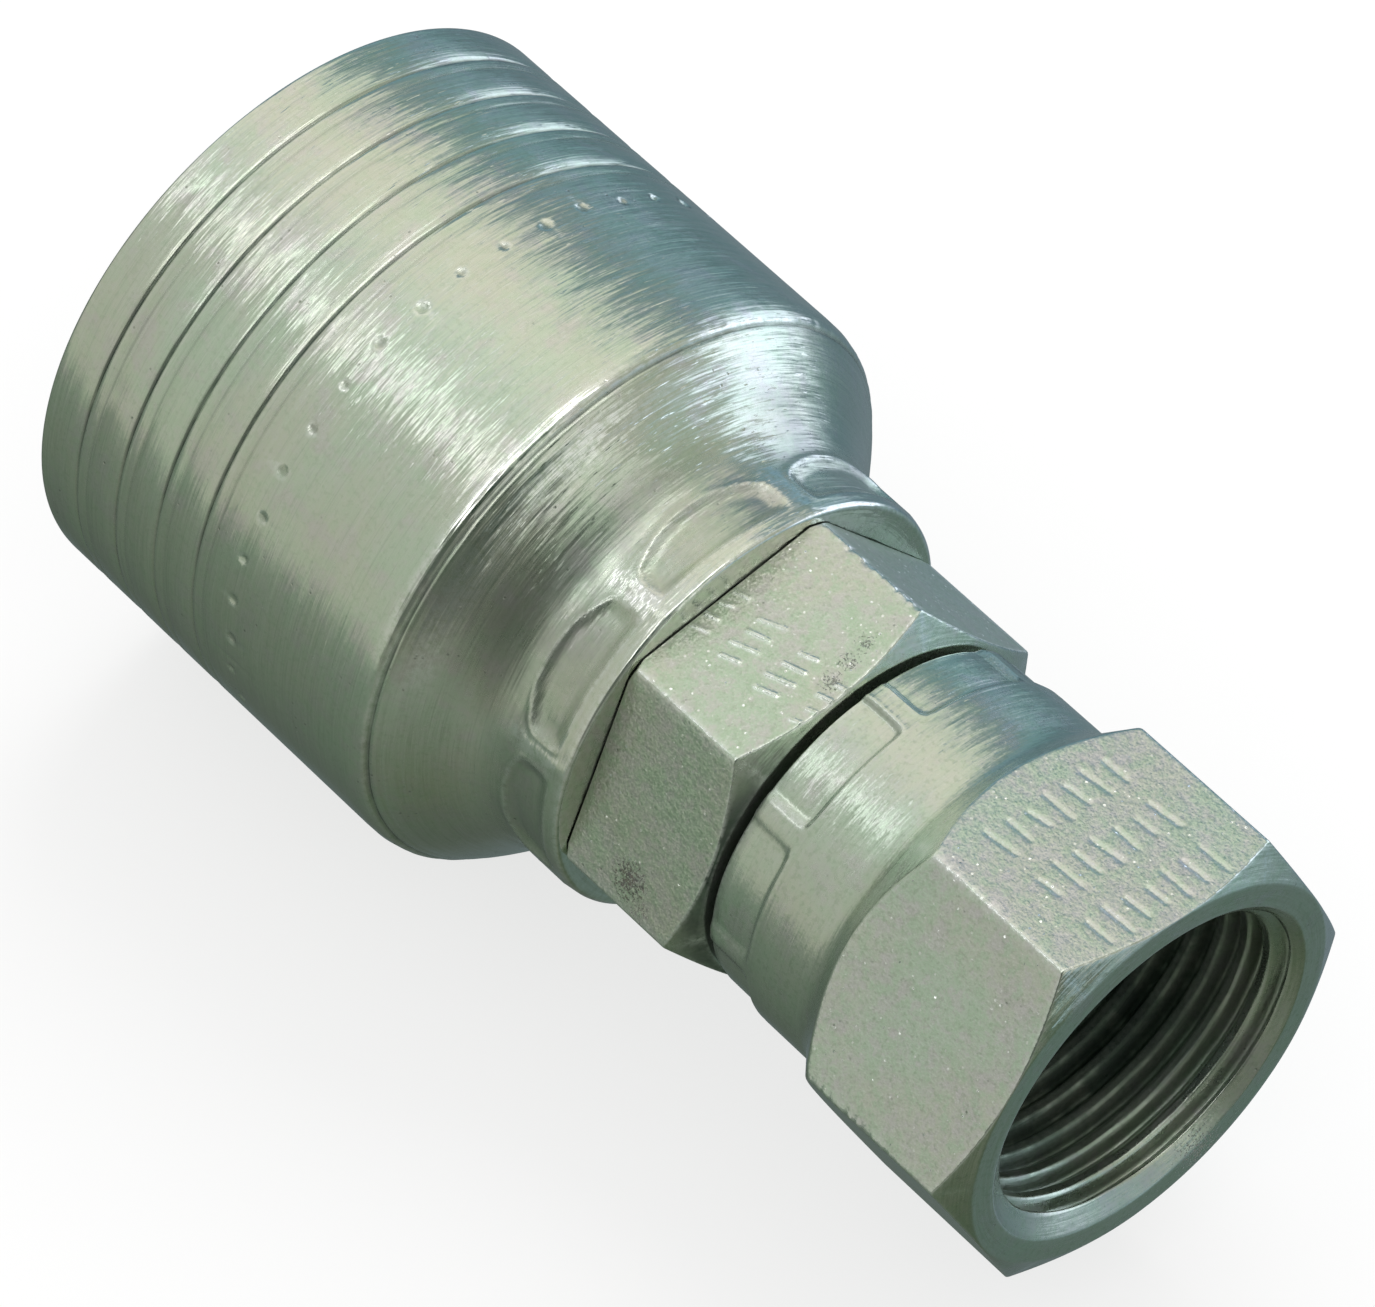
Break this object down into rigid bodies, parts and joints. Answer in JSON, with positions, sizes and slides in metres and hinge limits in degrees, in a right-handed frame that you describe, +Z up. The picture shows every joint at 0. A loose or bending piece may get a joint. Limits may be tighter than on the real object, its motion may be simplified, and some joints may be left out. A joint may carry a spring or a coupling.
{
  "type": "crimp hydraulic hose fitting",
  "caption": "Crimp-on hydraulic hose fitting with a plain ferrule, barbed hose stem, hexagonal body and a free-turning threaded swivel nut with a conical seat.",
  "frame": {"origin": "on the bore axis, in the plane of the ferrule's open hose end", "axes": "+X along the bore from the hose end to the swivel nut, +Z up with the fitting lying on its side, +Y completes the right-handed frame"},
  "size_m": [0.0892, 0.0466, 0.0466],
  "materials": {
    "plated_ferrule": "zinc plated, turned",
    "plated_stem": "zinc plated, drawn bar",
    "plated_nut": "zinc plated, satin",
    "insert_steel": "phosphated"
  },
  "bodies": {
    "stem_body": {"hose_stem": "plated_stem", "ferrule": "plated_ferrule", "grip_insert_rear": "insert_steel", "grip_insert_front": "insert_steel"},
    "nut_body": {"swivel_nut": "plated_nut"}
  },
  "joints": [
    {"name": "nut_spin", "type": "hinge", "parent": "stem_body", "child": "nut_body", "pos_m": [0.07, 0, 0], "axis": [1, 0, 0], "continuous": true}
  ]
}
